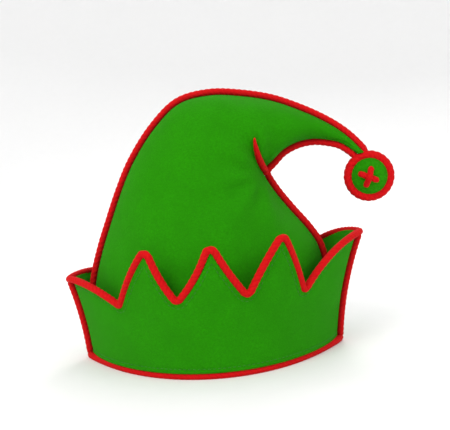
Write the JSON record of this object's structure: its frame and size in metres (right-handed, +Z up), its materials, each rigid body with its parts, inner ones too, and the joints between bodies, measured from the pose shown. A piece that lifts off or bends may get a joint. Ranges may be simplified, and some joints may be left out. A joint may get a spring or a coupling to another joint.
{
  "type": "felt elf hat",
  "caption": "Soft felt hat with a drooping pointed crown, a padded button at its tip, a flared cuff cut into teeth, and cord piping along every seam and edge.",
  "frame": {"origin": "bottom centre of the whole hat's box, on the surface that the rim stands on", "axes": "+Z up, the front faces -Y, and the tail droops towards +X"},
  "size_m": [0.2954, 0.2204, 0.23],
  "materials": {
    "green_felt": "matte wool felt with a short nap",
    "red_cord": "matte twisted cotton cord"
  },
  "bodies": {
    "root": {"crown_front": "green_felt", "crown_back": "green_felt", "cuff_front": "green_felt", "cuff_back": "green_felt", "tip_button": "green_felt", "crown_piping_over": "red_cord", "crown_piping_under": "red_cord", "crease_cord_front": "red_cord", "crease_cord_back": "red_cord", "cuff_edge_piping": "red_cord", "cuff_seam_piping_left": "red_cord", "cuff_seam_piping_right": "red_cord", "hem_piping": "red_cord", "button_piping": "red_cord", "button_cross": "red_cord"}
  },
  "joints": []
}
